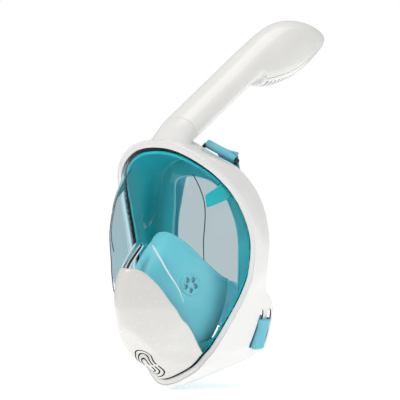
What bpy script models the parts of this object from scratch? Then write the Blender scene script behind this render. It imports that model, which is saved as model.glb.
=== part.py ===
"""Full face snorkel: a clear panoramic lens in a hard white frame, with a silicone skirt and breathing
pocket inside, a pull-out oval snorkel with a dry-top float valve, and an elastic head harness.

Axes: +X is the wearer's left, +Y points from the lens to the face, +Z is up. The origin is the middle of
the face seal. Lengths below are millimetres and are scaled to metres as each mesh is made.
"""

import bpy
import numpy as np

MM = 0.001

# Half outlines from the forehead to the chin as (x, y, z). The other half is the mirror image.
RIM = [(0, -60, 117.5), (32, -59, 112), (61, -45, 92), (75, -27, 64), (79.5, -13, 28), (75, -10, -6),
       (69, -11.5, -25), (61, -16, -44), (45, -28, -79), (37, -34.5, -92), (26, -43, -106), (0, -53, -118)]
REAR = [(0, -22, 126), (38, -14, 110), (64, -7, 96), (81, 4, 67), (90, 7, 30), (87.5, 7, -4),
        (80, 14, -25), (77, 29, -46), (71, 28, -80), (62, 25, -94), (30, -16, -117), (0, -42, -129)]
SEAL = [(0, 0, 105), (32, 2, 101), (53, 8, 85), (66, 16, 58), (71, 20, 28), (69, 20, -4),
        (65, 20, -25), (60, 18, -46), (48, 8, -78), (38, 0, -92), (24, -10, -103), (0, -20, -110)]
LIP = [(0, -5, 86), (22, -3, 82), (32, 3, 71), (38, 10, 52), (43, 14, 28), (44, 14, -4),
       (43, 14, -25), (41, 12, -44), (33, 2, -70), (26, -6, -80), (16, -16, -89), (0, -26, -94)]

WALL_SLOPE = [0.3, 0.5, 1.0, 2.6, 3.3, 3.4, 3.8, 4.2, 3.6, 3.0, 2.4, 1.4]
PANEL = ([-118, -60, -48, -20, 0, 25, 50, 80, 103, 118], [-83, -84, -85, -87, -86, -85, -80, -72, -63, -60])
KEEL = ([-118, -108, -93, -80, -60, -40, -20, -4, 25, 60], [-57, -84, -100, -108, -116, -120, -117.5, -113, -85, -60])
KEEL_FLARE = ([-118, -94, -80, -62, -41, -20, 0, 25, 60], [1.7, 1.6, 1.4, 1.25, 1.25, 1.25, 1.35, 1.4, 1.4])
# A flat facet at the chin, square to the purge valve: a point of it as (y, z), and its slope.
CHIN, CHIN_SLOPE = (-73.0, -99.0), 1.069
KEEL_NOSE = 12.0
PANEL_BOW = 0.0046
COVER_EDGE = [(0, -3), (12, -6), (24, -16), (34, -31), (40, -45), (41, -60), (40, -74), (34, -90)]

LENS_WALL = 2.0
COVER_GAP, COVER_WALL = 1.9, 1.5
FRAME_WALL = 2.6
RING_STEPS = 64

# The snorkel tube runs back and up from the top of the frame.
TUBE_FOOT = np.array([0.0, -61.0, 116.0])
TUBE_AXIS = np.array([0.0, 0.8746, 0.4848])
TUBE_DOWN = np.array([0.0, 0.4848, -0.8746])
TUBE_HALF = (20.0, 14.5)
SEAM, TUBE_END, SPIGOT_END = 40.0, 154.0, 168.0
SOCKET_HALF = (17.0, 11.5)

SIDES = (("left", 1), ("right", -1))


def clear_scene():
    for obj in list(bpy.data.objects):
        bpy.data.objects.remove(obj, do_unlink=True)
    for group in list(bpy.data.collections):
        bpy.data.collections.remove(group)


def material(name, colour, roughness=0.4, transmission=0.0):
    mat = bpy.data.materials.new(name)
    mat.use_nodes = True
    shader = mat.node_tree.nodes["Principled BSDF"]
    shader.inputs["Base Color"].default_value = (*colour, 1)
    shader.inputs["Roughness"].default_value = roughness
    shader.inputs["Transmission Weight"].default_value = transmission
    return mat


def make(name, verts, faces, look=None, cutter=False):
    """A mesh object from points in millimetres, with its faces turned outwards."""
    mesh = bpy.data.meshes.new(name)
    mesh.from_pydata([tuple(float(c) * MM for c in v) for v in verts], [], [tuple(map(int, f)) for f in faces])
    corners = np.array(verts, float)
    volume = 0.0
    for face in faces:
        for i in range(1, len(face) - 1):
            volume += np.linalg.det(corners[[face[0], face[i], face[i + 1]]])
    if volume < 0:
        mesh.flip_normals()
    obj = bpy.data.objects.new(name, mesh)
    (CUTTERS if cutter else OBJECT).objects.link(obj)
    if cutter:
        obj.hide_render = True
        obj.display_type = "WIRE"
    if look:
        mesh.materials.append(look)
    return obj


def boolean(obj, other, operation="DIFFERENCE"):
    mod = obj.modifiers.new(other.name, "BOOLEAN")
    mod.operation = operation
    mod.solver = "EXACT"
    mod.object = other
    return mod


def cut(obj, name, verts, faces):
    return boolean(obj, make("cut_" + name, verts, faces, cutter=True))


def catmull(points, count, closed=True):
    points = np.asarray(points, float)
    size = len(points)
    spans = size if closed else size - 1
    at = np.arange(count) * spans / (count if closed else count - 1)
    low = np.minimum(at.astype(int), spans - 1)
    f = (at - low)[:, None]
    pick = (lambda k: points[k % size]) if closed else (lambda k: points[np.clip(k, 0, size - 1)])
    a, b, c, d = pick(low - 1), pick(low), pick(low + 1), pick(low + 2)
    return 0.5 * (2 * b + (c - a) * f + (2 * a - 5 * b + 4 * c - d) * f**2 + (3 * b - a - 3 * c + d) * f**3)


def mirrored(half):
    return list(half) + [(-x, y, z) for x, y, z in half[-2:0:-1]]


def ring(half, count=RING_STEPS):
    return catmull(mirrored(half), count)


def outward(path):
    """Unit normals of a closed ring, pointing out in the XZ plane."""
    along = np.roll(path, -1, 0) - np.roll(path, 1, 0)
    normal = np.stack([-along[:, 2], 0 * along[:, 0], along[:, 0]], 1)
    normal /= np.linalg.norm(normal, axis=1)[:, None]
    return normal * np.sign((normal * path).sum())


def hermite(at, table):
    """Monotone cubic interpolation of a table."""
    xs, ys = (np.array(values, float) for values in table)
    step = np.diff(xs)
    rise = np.diff(ys) / step
    slope = np.concatenate([rise[:1], np.zeros(len(xs) - 2), rise[-1:]])
    same = rise[1:] * rise[:-1] > 0
    slope[1:-1][same] = (2 * rise[1:] * rise[:-1] / np.where(same, rise[1:] + rise[:-1], 1))[same]
    at = np.clip(at, xs[0], xs[-1])
    k = np.clip(np.searchsorted(xs, at) - 1, 0, len(step) - 1)
    t = (at - xs[k]) / step[k]
    return ((2 * t**3 - 3 * t**2 + 1) * ys[k] + (t**3 - 2 * t**2 + t) * step[k] * slope[k]
            + (3 * t**2 - 2 * t**3) * ys[k + 1] + (t**3 - t**2) * step[k] * slope[k + 1])


RIM_LINE = ring(RIM, 256)
RIM_SLOPE = catmull([(s, 0, 0) for s in WALL_SLOPE + WALL_SLOPE[-2:0:-1]], 256)[:, 0]


def smooth_low(a, b, width):
    return 0.5 * (a + b) - 0.5 * np.sqrt((a - b) ** 2 + width**2)


def plain_front(x, z, edge_y, slope, reach):
    panel = hermite(z, PANEL) + PANEL_BOW * x**2
    keel = hermite(z, KEEL) + np.sqrt(KEEL_NOSE**2 + (hermite(z, KEEL_FLARE) * x) ** 2) - KEEL_NOSE
    facet = CHIN[0] - (z - CHIN[1]) * CHIN_SLOPE
    keel = -smooth_low(-keel, -facet, 2.0)
    wall = edge_y - slope * reach
    return -smooth_low(-smooth_low(panel, keel, 3.0), -wall, 6.0)


def front(x, z):
    """Depth of the lens's outer face over the XZ plane, meeting the rim exactly."""
    x, z = np.asarray(x, float), np.asarray(z, float)
    shape = x.shape
    x, z = x.ravel(), z.ravel()
    gap = np.hypot(x[:, None] - RIM_LINE[None, :, 0], z[:, None] - RIM_LINE[None, :, 2])
    near = gap.argmin(1)
    reach = gap.min(1)
    at_rim = plain_front(RIM_LINE[:, 0], RIM_LINE[:, 2], RIM_LINE[:, 1], RIM_SLOPE, 0.0)
    miss = (RIM_LINE[:, 1] - at_rim)[near]
    depth = plain_front(x, z, RIM_LINE[near, 1], RIM_SLOPE[near], reach) + miss * np.exp(-((reach / 9) ** 2))
    return depth.reshape(shape)


def front_normal(x, z):
    step = 0.6
    dx = (front(x + step, z) - front(x - step, z)) / (2 * step)
    dz = (front(x, z + step) - front(x, z - step)) / (2 * step)
    normal = np.stack([dx, -np.ones_like(dx), dz], -1)
    return normal / np.linalg.norm(normal, axis=-1)[..., None]


def polar_shell(outline, middle, rows, outer, inner):
    """A shell over a star-shaped outline in the XZ plane, from two height offsets along its normal."""
    outline = np.asarray(outline, float)
    middle = np.asarray(middle, float)
    count = len(outline)
    verts, faces = [], []
    grid = np.concatenate([middle + r * (outline - middle) for r in rows])
    grid = np.concatenate([[middle], grid])
    y = front(grid[:, 0], grid[:, 1])
    base = np.stack([grid[:, 0], y, grid[:, 1]], 1)
    normal = front_normal(grid[:, 0], grid[:, 1])
    verts = np.concatenate([base + outer * normal, base + inner * normal])
    size = len(grid)
    for k in range(count):
        n = (k + 1) % count
        faces += [(0, 1 + n, 1 + k), (size, size + 1 + k, size + 1 + n)]
        for r in range(len(rows) - 1):
            a, b = 1 + r * count, 1 + (r + 1) * count
            faces.append((a + k, a + n, b + n, b + k))
            faces.append((size + a + k, size + b + k, size + b + n, size + a + n))
        a = 1 + (len(rows) - 1) * count
        faces.append((a + k, a + n, size + a + n, size + a + k))
    return verts, faces


def loft(sections, closed_path=False):
    """A solid through a list of closed sections with equal point counts."""
    sections = np.asarray(sections, float)
    rows, count = sections.shape[:2]
    verts = sections.reshape(-1, 3)
    faces = []
    for r in range(rows if closed_path else rows - 1):
        a, b = r * count, ((r + 1) % rows) * count
        faces += [(a + k, a + (k + 1) % count, b + (k + 1) % count, b + k) for k in range(count)]
    if not closed_path:
        faces += [tuple(range(count))[::-1], tuple((rows - 1) * count + k for k in range(count))]
    return verts, faces


def oval(half, count=32, power=2.3):
    angle = np.arange(count) * 2 * np.pi / count
    c, s = np.cos(angle), np.sin(angle)
    return np.stack([half[0] * np.sign(c) * abs(c) ** (2 / power), half[1] * np.sign(s) * abs(s) ** (2 / power)], 1)


def on_axis(shape, along, foot=TUBE_FOOT, axis=TUBE_AXIS, side=(1, 0, 0), down=TUBE_DOWN):
    """A flat section placed across an axis."""
    shape = np.asarray(shape, float)
    return foot + along * np.asarray(axis) + shape[:, :1] * np.asarray(side) + shape[:, 1:] * np.asarray(down)


def frame_of(axis):
    axis = np.asarray(axis, float) / np.linalg.norm(axis)
    side = np.cross(axis, (0, 0, 1) if abs(axis[2]) < 0.9 else (0, 1, 0))
    side /= np.linalg.norm(side)
    return axis, side, np.cross(axis, side)


def turned(profile, foot, axis, count=24):
    """A solid of revolution: (radius, along) pairs, the first and last of them on the axis or both off it."""
    axis, side, down = frame_of(axis)
    rings = [on_axis(oval((r, r), count, 2), a, np.asarray(foot, float), axis, side, down) for r, a in profile]
    return loft(np.array(rings), closed_path=False)


def washer(outer, inner, low, high, foot, axis, count=24):
    axis, side, down = frame_of(axis)
    foot = np.asarray(foot, float)
    rings = [on_axis(oval((r, r), count, 2), a, foot, axis, side, down)
             for r, a in ((outer, low), (outer, high), (inner, high), (inner, low))]
    return loft(np.array(rings), closed_path=True)


def box(centre, axes, sizes):
    centre = np.asarray(centre, float)
    x, y, z = (np.asarray(a, float) * s / 2 for a, s in zip(axes, sizes))
    section = lambda k: [centre + k * z - x - y, centre + k * z + x - y, centre + k * z + x + y, centre + k * z - x + y]
    return loft([section(-1), section(1)])


def joined(*pieces):
    verts, faces, base = [], [], 0
    for more, sides in pieces:
        verts.append(np.asarray(more))
        faces += [tuple(i + base for i in face) for face in sides]
        base += len(more)
    return np.concatenate(verts), faces


def ribbon(path, wide, width, thick):
    """A flat strap: a path of points, the direction of its width, and its thickness across both."""
    path = np.asarray(path, float)
    along = np.gradient(path, axis=0)
    along /= np.linalg.norm(along, axis=1)[:, None]
    wide = np.broadcast_to(np.asarray(wide, float), path.shape)
    wide = wide - (wide * along).sum(1)[:, None] * along
    wide /= np.linalg.norm(wide, axis=1)[:, None]
    up = np.cross(along, wide) * thick / 2
    half = wide * width / 2
    return loft(np.stack([path - half - up, path + half - up, path + half + up, path - half + up], 1))


clear_scene()
OBJECT = bpy.data.collections.new("full_face_snorkel")
CUTTERS = bpy.data.collections.new("cutters")
for group in (OBJECT, CUTTERS):
    bpy.context.scene.collection.children.link(group)

WHITE = material("white_plastic", (0.80, 0.78, 0.76), 0.25)
CLEAR = material("clear_lens", (0.92, 0.96, 0.97), 0.05, 0.9)
TEAL = material("teal_silicone", (0.02, 0.42, 0.47), 0.35, 0.3)
PALE = material("pale_silicone", (0.10, 0.60, 0.66), 0.35, 0.4)
DARK = material("black_rubber", (0.02, 0.02, 0.02), 0.6)
FABRIC = material("strap_fabric", (0.10, 0.46, 0.58), 0.9)
STEEL = material("stainless_steel", (0.6, 0.6, 0.6), 0.3)


# Frame: a lip round the lens, then an outer wall going back, swelling into the two jaw lobes.
def frame_rings():
    rim = ring(RIM)
    rear = ring(REAR)
    out, out_rear = outward(rim), outward(rear)
    back = lambda depth: np.array([0, depth, 0.0])
    crest = rim + 8.7 * out + back(2.5)
    skin = [rim + 0.7 * out + back(0.2), rim + 1.6 * out + back(-0.9), rim + 6.6 * out + back(-0.1), crest,
            crest + 0.4 * (rear - crest) + 0.8 * out, rear]
    lining = [rear - FRAME_WALL * out_rear, crest + 0.4 * (rear - crest) - (FRAME_WALL - 0.8) * out,
              rim + 6.3 * out + back(5.7), rim + 0.7 * out + back(5.7)]
    return np.stack(skin + lining, 1)


def neck_solid():
    """The snorkel socket: an oval boss that flares into the top of the frame, ending flat on its top wall."""
    spread = [(-16, 1.22), (0, 1.22), (14, 1.14), (26, 1.04), (SEAM, 1.0)]
    sections = [on_axis(oval(TUBE_HALF) * (scale, 1 + (scale - 1) * 0.4), s) for s, scale in spread]
    return loft(sections)


def wall_point(t, s):
    """A point on the outer wall of the frame: t counts control points from the forehead, s runs back."""
    pick = lambda half: catmull(mirrored(half), 22 * 40)[int(round(t * 40)) % 880]
    lines = catmull(mirrored(RIM), 880)
    out = outward(lines)[int(round(t * 40)) % 880]
    crest = pick(RIM) + 8.7 * out + np.array([0, 2.5, 0])
    return crest + s * (pick(REAR) - crest)


def slot_prism(low, high, front_s, rear_s, sign):
    """A cutter through the jaw lobe, bounded by two lines along the wall."""
    rows = []
    for t in np.linspace(low, high, 5):
        a, b = wall_point(t, front_s), wall_point(t, rear_s)
        through = np.cross(b - a, wall_point(t + 0.1, front_s) - wall_point(t - 0.1, front_s))
        through *= 9 / np.linalg.norm(through)
        rows.append([(a - through) * (sign, 1, 1), (b - through) * (sign, 1, 1),
                     (b + through) * (sign, 1, 1), (a + through) * (sign, 1, 1)])
    return loft(rows)


frame = make("main_frame", *loft(frame_rings(), closed_path=True), WHITE)
neck = make("cut_neck_boss", *neck_solid(), cutter=True)
trim = make("cut_neck_trim", *box((0, -20, 174), ((1, 0, 0), (0, 1, 0), (0, 0, 1)), (90, 82.4, 101)), cutter=True)
boolean(neck, trim, "INTERSECT")
boolean(frame, neck, "UNION")
cut(frame, "socket_bore", *loft([on_axis(oval(SOCKET_HALF), s) for s in (9, SEAM + 8)]))
cut(frame, "air_way", *loft([on_axis(oval((15.3, 15.9), 26), z, np.array([0, -36.4, 0]), (0, 0, 1), (1, 0, 0), (0, 1, 0)) for z in (96.7, 128.9)]))
for name, sign in SIDES:
    cut(frame, f"strap_slot_front_{name}", *slot_prism(7.06, 8.4, 0.625, 0.725, sign))
    cut(frame, f"strap_slot_rear_{name}", *slot_prism(7.06, 8.4, 0.845, 0.945, sign))

# Lens: the flat panel, the folded side walls and the nose keel in one shell.
rim_flat = ring(RIM)[:, [0, 2]]
LENS_ROWS = (0.16, 0.32, 0.46, 0.58, 0.68, 0.76, 0.83, 0.89, 0.945, 1.0)
lens = make("lens", *polar_shell(rim_flat, (0, 0), LENS_ROWS, 0.0, -LENS_WALL), CLEAR)
VALVE_FOOT = np.array([0.0, -73.6, -98.4])
VALVE_AXIS = np.array([0.0, -0.683, -0.73])
PURGE_BORE = 9.6
cut(lens, "purge_bore", *turned([(PURGE_BORE, -9), (PURGE_BORE, 8)], VALVE_FOOT, VALVE_AXIS, 28))


# Cover: the white shell over the nose and mouth, from a pointed tip down to the chin rim.
def cover_outline():
    """One point for each step round the cover, kept inside the rim where it meets it."""
    edge = catmull([(x, 0, z) for x, z in COVER_EDGE], 16, closed=False)[:, [0, 2]]
    rim = ring(RIM, 256)
    inner = (rim - 2.0 * outward(rim))[:, [0, 2]]
    low = inner[(inner[:, 1] < -89) & (inner[:, 0] > 0.2)]
    low = low[np.argsort(-low[:, 1])]
    low = low[np.linspace(0, len(low) - 1, 13).astype(int)]
    half = np.concatenate([edge[:-1], low])
    bottom = [[0.0, inner[inner[:, 1].argmin()][1]]]
    return np.concatenate([half, bottom, (half * (-1, 1))[:0:-1]])


def vent_slot(half_width, half_length, end, count=7):
    """One U-shaped slot of a ring of vents, cut straight through along the valve's axis."""
    angle = np.linspace(0, np.pi, count)
    radius = half_width
    line = [(radius, 1.6)] + [(radius * np.cos(a), half_length - radius + radius * np.sin(a)) for a in angle]
    line = np.array(line + [(-radius, 1.6)]) * (1, end)
    along = np.gradient(line, axis=0)
    along /= np.linalg.norm(along, axis=1)[:, None]
    side = np.stack([-along[:, 1], along[:, 0]], 1) * 0.65
    flat = np.concatenate([line + side, (line - side)[::-1]])
    run = np.array([0, 0.73, -0.683])
    return loft([VALVE_FOOT + d * VALVE_AXIS + flat[:, :1] * np.array([1.0, 0, 0]) + flat[:, 1:] * run
                 for d in (-16, 22)])


COVER_ROWS = (0.25, 0.5, 0.72, 0.88, 1.0)
cover = make("front_cover", *polar_shell(cover_outline(), (0, -66), COVER_ROWS, COVER_GAP + COVER_WALL, COVER_GAP),
             WHITE)
for order, (wide, long) in enumerate(((3.4, 11), (7.2, 16), (11.0, 21))):
    for end in (1, -1):
        cut(cover, f"vent_{order}_{'lower' if end > 0 else 'upper'}", *vent_slot(wide, long, end))


# Skirt and clamp ring: sections go round the rim, in (outward, back) offsets from it.
def rim_sections(offsets):
    rim = ring(RIM)
    out = outward(rim)
    return np.stack([rim + a * out + np.array([0, b, 0]) for a, b in offsets], 1)


def skirt_rings():
    bead = rim_sections([(-3.4, 6.2), (0.3, 6.2), (0.3, 2.9), (-5.6, 2.9)])
    rim, seal, lip = ring(RIM), ring(SEAL), ring(LIP)
    inner_top = rim - 5.6 * outward(rim) + np.array([0, 4.6, 0])
    out = outward(seal)
    mid = 0.5 * (bead[:, 0] + seal)
    return np.stack([bead[:, 0], bead[:, 1], bead[:, 2], bead[:, 3], inner_top, mid - 2.4 * out,
                     seal - 2.6 * out - np.array([0, 2.4, 0]), lip - np.array([0, 1.6, 0]), lip,
                     seal - 3.4 * out + np.array([0, 1.2, 0]), seal, mid], 1)[:, ::-1]


clamp = make("clamp_ring", *loft(rim_sections([(-2.6, 6.6), (5.2, 6.6), (5.2, 9.4), (-2.6, 9.4)]), True), WHITE)
skirt = make("face_skirt", *loft(skirt_rings(), closed_path=True), TEAL)
SCREW_STEPS = (0.95, 4.4, 7.3)
lines = catmull(mirrored(RIM), 880)
outs = outward(lines)
for name, sign in SIDES:
    for order, t in enumerate(SCREW_STEPS):
        k = int(round(t * 40))
        foot = (lines[k] + 2.4 * outs[k]) * (sign, 1, 1)
        cut(frame, f"screw_hole_frame_{name}_{order}", *turned([(1.3, 3.4), (1.3, 8)], foot, (0, 1, 0), 10))
        cut(clamp, f"screw_hole_ring_{name}_{order}", *turned([(1.4, 4), (1.4, 8.1), (2.6, 8.1), (2.6, 14)], foot, (0, 1, 0), 12))
        profile = [(1.0, 4.0), (1.0, 8.5), (2.25, 8.5), (2.25, 9.9)]
        make(f"ring_screw_{name}_{order + 1}", *turned(profile, foot, (0, 1, 0), 12), STEEL)


# Breathing pocket: a nose-and-mouth cup of thin silicone, open at the back.
POCKET_RISE = [(0.0, 31.0, 8.0), (0.12, 16.0, -12.0), (0.28, -4.0, -30.0), (0.48, -30.0, -45.0),
               (0.72, -58.0, -43.0), (0.88, -73.0, -29.0), (1.0, -82.0, -14.0)]


def pocket_surface(columns=25, rows=11, sink=0.0):
    """Rows run down from the nose bridge, columns go round from cheek to cheek."""
    turn = np.linspace(-np.pi / 2, np.pi / 2, columns)
    steps = np.linspace(0, 1, rows)
    table = np.array(POCKET_RISE).T
    points = np.empty((rows, columns, 3))
    for i, h in enumerate(steps):
        z_mid = np.interp(h, table[0], table[1])
        y_mid = hermite(np.array([h]), (table[0], table[2]))[0] - 60
        z_side = -18 - 64 * h
        half = 45 - 2 * h - 13 * h**2 - sink
        y_side = -6.0 - 12 * h**2
        blend = np.cos(turn) ** 1.3
        points[i] = np.stack([half * np.sin(turn) * (1 + 0.06 * np.cos(turn)),
                              y_side + (y_mid + sink - y_side) * blend,
                              z_side + (z_mid - sink * (1 - h) - z_side) * np.cos(turn) ** 2], 1)
    return points


def sheet_solid(outer, inner):
    """A closed shell between two grids of points."""
    rows, columns = outer.shape[:2]
    size = rows * columns
    at = lambda r, c: r * columns + c
    faces = []
    for r in range(rows - 1):
        for c in range(columns - 1):
            faces.append((at(r, c), at(r, c + 1), at(r + 1, c + 1), at(r + 1, c)))
            faces.append(tuple(size + k for k in (at(r, c), at(r + 1, c), at(r + 1, c + 1), at(r, c + 1))))
    edge = [at(0, c) for c in range(columns)] + [at(r, columns - 1) for r in range(1, rows)]
    edge += [at(rows - 1, c) for c in range(columns - 2, -1, -1)] + [at(r, 0) for r in range(rows - 2, 0, -1)]
    for k, a in enumerate(edge):
        b = edge[(k + 1) % len(edge)]
        faces.append((b, a, size + a, size + b))
    return np.concatenate([outer.reshape(-1, 3), inner.reshape(-1, 3)]), faces


def grid_normals(points):
    across = np.gradient(points, axis=1)
    down = np.gradient(points, axis=0)
    normal = np.cross(across, down)
    normal /= np.linalg.norm(normal, axis=2)[..., None]
    return normal * np.sign((normal[..., 1] < 0).mean() - 0.5)


cup = pocket_surface()
cup_normal = grid_normals(cup)
pocket = make("breathing_pocket", *sheet_solid(cup, cup - 1.6 * cup_normal), PALE)

# Inhale valves: a spoked seat in each side of the pocket, with a flap inside it.
fine = pocket_surface(121, 121)
fine_normal = grid_normals(fine)
VALVE_AT = (30, 93)
for name, sign in SIDES:
    foot = fine[VALVE_AT] * (sign, 1, 1)
    axis = fine_normal[VALVE_AT] * (sign, 1, 1)
    cut(pocket, f"inhale_hole_{name}", *turned([(10.2, -9), (10.2, 9)], foot, axis, 24))
    seat = make(f"inhale_seat_{name}", *turned([(9.8, -2.2), (9.8, 0.6)], foot, axis, 30), PALE)
    turn_axis, side, down = frame_of(axis)
    for k in range(5):
        a = k * 2 * np.pi / 5
        petal = oval((2.1, 2.1), 10, 2) + 5.8 * np.array([np.cos(a), np.sin(a)])
        cut(seat, f"inhale_port_{name}_{k}",
            *loft([on_axis(petal, d, foot, turn_axis, side, down) for d in (-4, 3)]))
    make(f"inhale_flap_{name}", *turned([(8.8, -3.3), (8.8, -2.5)], foot, axis, 24), TEAL)

# Purge valve at the chin: a spoked seat recessed in the lens, with its flap outside it.
purge = make("purge_seat", *washer(9.3, 7.8, -6.0, -0.4, VALVE_FOOT, VALVE_AXIS, 28), WHITE)
spokes = make("cut_purge_spoke_a", *box(VALVE_FOOT - 4.6 * VALVE_AXIS, ((1, 0, 0), (0, 0.73, -0.683), VALVE_AXIS),
                                        (16.4, 2.0, 1.8)), cutter=True)
spokes_b = make("cut_purge_spoke_b", *box(VALVE_FOOT - 4.7 * VALVE_AXIS, ((1, 0, 0), (0, 0.73, -0.683), VALVE_AXIS),
                                          (2.0, 16.4, 1.9)), cutter=True)
boolean(purge, spokes, "UNION")
boolean(purge, spokes_b, "UNION")
make("purge_flap", *turned([(7.4, -3.0), (7.4, -2.2)], VALVE_FOOT, VALVE_AXIS, 24), TEAL)

# Snorkel: an oval tube with a reduced plug that seats in the socket, and a divider inside it.
plug = (SOCKET_HALF[0] - 0.35, SOCKET_HALF[1] - 0.35)
spigot = (17.4, 11.9)
inner = (plug[0] - 2.0, plug[1] - 2.0)
tube_rings = [on_axis(oval(half), s) for half, s in (
    (plug, 17), (plug, SEAM + 1.2), (TUBE_HALF, SEAM + 1.2), (TUBE_HALF, TUBE_END), (spigot, TUBE_END),
    (spigot, SPIGOT_END), (inner, SPIGOT_END), (inner, 17))]
tube = make("snorkel_tube", *loft(tube_rings, closed_path=True), WHITE)
across = (np.array([1.0, 0, 0]), TUBE_DOWN, TUBE_AXIS)
make("tube_divider", *box(TUBE_FOOT + TUBE_AXIS * 94, across, (1.6, 17.6, 140)), WHITE)


# Snorkel head: a bulb hung off the end of the tube, with a grille cap under it.
# Each section of the bulb: its upper edge and lower edge as (y, z), and its half width.
HEAD = [((67.6, 204.2), (82.0, 178.3), 20.3), ((76, 208.9), (84.6, 176.0), 20.8), ((86, 214.3), (88.5, 171.0), 21.8),
        ((98, 220.6), (100, 169.8), 23.0), ((110, 226.6), (115, 171.2), 24.2), ((125, 232.2), (135, 175.6), 24.8),
        ((141, 234.6), (155, 183.2), 24.2), ((157, 233.4), (172, 192.6), 21.8), ((173, 229), (185, 200.6), 17.4),
        ((187, 222.6), (194, 207.5), 10.6), ((195.5, 217), (198, 211.5), 4.0)]


def head_rings(sink=0.0):
    rows = []
    for upper, lower, wide in HEAD[:-1] if sink else HEAD:
        upper, lower = np.array([0, *upper]), np.array([0, *lower])
        tall = np.linalg.norm(lower - upper) / 2
        rows.append(on_axis(oval((wide - sink, tall - sink), 32, 2.2), 0, (upper + lower) / 2,
                            down=(lower - upper) / (2 * tall)))
    return [rows[0] - 3 * TUBE_AXIS] + rows if sink else rows


def side_prism(outline, half_width):
    """A prism across X from an outline of (y, z) points."""
    return loft([[(x, y, z) for y, z in outline] for x in (-half_width, half_width)])


def ring_on_tube(outer, hole, low, high):
    return loft([on_axis(oval(half), s) for half, s in ((outer, low), (outer, high), (hole, high), (hole, low))], True)


make("socket_gasket", *ring_on_tube((19.6, 14.1), (17.1, 11.6), SEAM + 0.3, SEAM + 0.9), DARK)
make("head_gasket", *ring_on_tube((19.6, 14.1), (17.8, 12.3), TUBE_END + 0.3, TUBE_END + 0.9), DARK)

# The cap's parting line runs along the bulb just above its underside.
PARTING = [(70.2, 119.3), (83.3, 177.7), (90.6, 179.7), (104.3, 181.5), (120.7, 184.1), (140.4, 189.7), (160.3, 198.2),
           (178.7, 208.1), (196.3, 217.3), (215.1, 219.6)]
BELOW, ABOVE = [(215, 110.0), (70, 110.0)], [(215, 290.0), (60, 290.0), (60, 119.0)]
head = make("head_shell", *loft(head_rings()), WHITE)
hollow = make("cut_head_hollow", *loft(head_rings(2.0)), cutter=True)
boolean(head, hollow)
cut(head, "head_below", *side_prism([(y, z) for y, z in PARTING] + BELOW, 40))
cap = make("head_cap", *loft(head_rings()), WHITE)
boolean(cap, hollow)
cut(cap, "cap_above", *side_prism([(y, z - 0.4) for y, z in PARTING] + ABOVE, 40))
cut(cap, "cap_vents", *joined(*(box((0, 93.3 + 6.13 * k, 165.7), np.eye(3), (33.7, 2.6, 30)) for k in range(8))))

# Float valve in the head: the float rests on the cage's lower flange and rises against the gasket.
FLOAT_FOOT = np.array([0.0, 125.0, 0.0])
UP = np.array([0.0, 0, 1])


def upright(half_x, half_y, z, count=24):
    return on_axis(oval((half_x, half_y), count, 2), z, FLOAT_FOOT, UP, (1, 0, 0), (0, 1, 0))


cage_profile = [(21.4, 16.0, 205), (21.4, 16.0, 203), (12.8, 12.8, 203), (12.8, 12.8, 183), (8, 8, 183), (8, 8, 185),
                (11.4, 11.4, 185), (11.4, 11.4, 203), (7, 7, 203), (7, 7, 205)]
cage = make("float_cage", *loft([upright(a, b, z) for a, b, z in cage_profile], True), WHITE)
for k in range(2):
    turn = np.pi / 4 + k * np.pi / 2
    axes = ((np.cos(turn), np.sin(turn), 0), (-np.sin(turn), np.cos(turn), 0), (0, 0, 1))
    cut(cage, f"cage_window_{k}", *box(FLOAT_FOOT + (0, 0, 193.5), axes, (40, 9, 13)))
make("float", *loft([upright(r, r, z) for r, z in ((7.5, 185.3), (10.4, 187.5), (10.4, 195.5), (8.6, 197.4))]), TEAL)
gasket = [(10.6, 202.0), (10.6, 202.7), (7.3, 202.7), (7.3, 202.0)]
make("float_gasket", *loft([upright(r, r, z) for r, z in gasket], True), DARK)

# Harness: upper bars behind the top edge, elastic straps, a back pad folded in behind the skirt.
BAR_MIDDLE = np.array([38.5, -6.3, 112.5])
BAR_RUN = np.array([0.886, 0.226, -0.405])
BAR_RUN /= np.linalg.norm(BAR_RUN)
BAR_HALF, BAR_RADIUS = 19.5, 1.9
STRAP_WIDE, STRAP_THICK = 31.0, 1.3
BACK = np.array([0, 1.0, 0]) - BAR_RUN[1] * BAR_RUN
BACK /= np.linalg.norm(BACK)
RISE = np.cross(BAR_RUN, BACK)
RISE *= np.sign(RISE[2])


def bracket():
    """A staple: a round bar held at both ends by legs that reach forward to the frame's rear edge."""
    path = [BAR_MIDDLE - BAR_HALF * BAR_RUN - 5.0 * BACK - 2.2 * RISE, BAR_MIDDLE - BAR_HALF * BAR_RUN - 1.4 * BACK,
            BAR_MIDDLE - (BAR_HALF - 1.4) * BAR_RUN, BAR_MIDDLE + (BAR_HALF - 1.4) * BAR_RUN,
            BAR_MIDDLE + BAR_HALF * BAR_RUN - 1.4 * BACK, BAR_MIDDLE + BAR_HALF * BAR_RUN - 5.0 * BACK - 2.2 * RISE]
    path = np.array(path)
    along = np.gradient(path, axis=0)
    along /= np.linalg.norm(along, axis=1)[:, None]
    flat = oval((BAR_RADIUS, BAR_RADIUS), 10, 2)
    rows = []
    for point, run in zip(path, along):
        side = np.cross(run, RISE)
        side /= np.linalg.norm(side)
        rows.append(point + flat[:, :1] * side + flat[:, 1:] * np.cross(side, run))
    return loft(rows)


def mirror(solid, sign):
    verts, faces = solid
    return np.asarray(verts) * (sign, 1, 1), faces


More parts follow.
